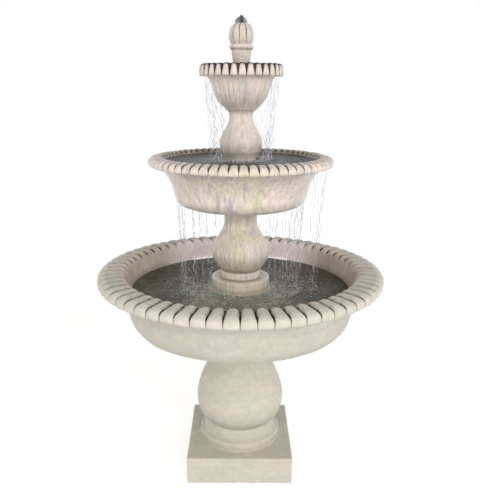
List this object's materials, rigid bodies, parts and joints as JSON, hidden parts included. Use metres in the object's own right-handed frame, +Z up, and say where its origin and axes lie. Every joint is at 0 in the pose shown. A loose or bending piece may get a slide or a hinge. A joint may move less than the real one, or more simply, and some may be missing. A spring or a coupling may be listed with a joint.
{
  "type": "tiered water fountain",
  "caption": "Free-standing tiered garden fountain: stacked cast-stone bowls with beaded rims on turned columns, a fluted finial spout, and a submersible pump hidden under the lowest column.",
  "frame": {"origin": "centre of the plinth's underside, on the ground", "axes": "+Z up along the fountain's axis, -Y to the front with the cord notch, +X to the right seen from the front"},
  "size_m": [1.1446, 1.1446, 1.83],
  "materials": {
    "stone": "cast stone, fine sandy grain, warm cream",
    "stone_upper": "cast stone, wet in streaks, slightly pink",
    "rubber": "moulded black rubber",
    "copper": "drawn copper tube",
    "steel": "stainless strip and screws",
    "black_plastic": "moulded black plastic",
    "hose": "milky flexible vinyl hose",
    "ceramic": "ground ceramic",
    "ferrite": "bonded ferrite magnet with moulded impeller"
  },
  "bodies": {
    "pedestal": {"pedestal": "stone", "setting_pad_1": "rubber", "setting_pad_2": "rubber", "setting_pad_3": "rubber"},
    "basin": {"main_basin": "stone", "pump_body": "black_plastic", "pump_seal": "rubber", "pump_volute": "black_plastic", "pump_shaft": "ceramic", "front_bush": "rubber", "rear_bush": "rubber", "cord_gland": "rubber", "suction_foot_1": "rubber", "suction_foot_2": "rubber", "suction_foot_3": "rubber", "suction_foot_4": "rubber", "supply_hose": "hose", "clamp_band_1": "steel", "clamp_screw_1": "steel"},
    "cord_stopper": {"basin_stopper": "rubber"},
    "rotor": {"pump_rotor": "ferrite"},
    "strainer": {"pump_strainer": "black_plastic"},
    "dial": {"flow_dial": "black_plastic"},
    "housing": {"pump_housing": "stone"},
    "low_column": {"lower_column": "stone"},
    "mid_bowl": {"middle_bowl": "stone_upper", "middle_stopper": "rubber", "middle_riser_tube": "copper", "upper_hose": "hose", "clamp_band_2": "steel", "clamp_screw_2": "steel"},
    "high_column": {"upper_column": "stone_upper"},
    "high_bowl": {"top_bowl": "stone_upper", "top_stopper": "rubber", "top_riser_tube": "copper", "coupling_hose": "hose", "clamp_band_3": "steel", "clamp_screw_3": "steel"},
    "spout": {"finial": "stone_upper", "finial_tube": "copper", "spout_nozzle": "black_plastic"}
  },
  "joints": [
    {"name": "basin_lift", "type": "slide", "parent": "pedestal", "child": "basin", "axis": [0, 0, 1], "range_m": [0, 0.1]},
    {"name": "stopper_pull", "type": "slide", "parent": "basin", "child": "cord_stopper", "axis": [0, 0, 1], "range_m": [0, 0.05]},
    {"name": "rotor_spin", "type": "hinge", "parent": "basin", "child": "rotor", "pos_m": [0, 0, 0.698], "axis": [1, 0, 0], "continuous": true},
    {"name": "strainer_slide", "type": "slide", "parent": "basin", "child": "strainer", "axis": [-1, 0, 0], "range_m": [0, 0.03]},
    {"name": "dial_turn", "type": "hinge", "parent": "strainer", "child": "dial", "pos_m": [-0.055, 0, 0.698], "axis": [-1, 0, 0], "range_deg": [0, 90]},
    {"name": "housing_lift", "type": "slide", "parent": "basin", "child": "housing", "axis": [0, 0, 1], "range_m": [0, 0.12]},
    {"name": "lower_column_lift", "type": "slide", "parent": "housing", "child": "low_column", "axis": [0, 0, 1], "range_m": [0, 0.12]},
    {"name": "middle_bowl_lift", "type": "slide", "parent": "low_column", "child": "mid_bowl", "axis": [0, 0, 1], "range_m": [0, 0.12]},
    {"name": "upper_column_lift", "type": "slide", "parent": "mid_bowl", "child": "high_column", "axis": [0, 0, 1], "range_m": [0, 0.12]},
    {"name": "top_bowl_lift", "type": "slide", "parent": "high_column", "child": "high_bowl", "axis": [0, 0, 1], "range_m": [0, 0.1]},
    {"name": "finial_lift", "type": "slide", "parent": "high_bowl", "child": "spout", "axis": [0, 0, 1], "range_m": [0, 0.15]}
  ]
}
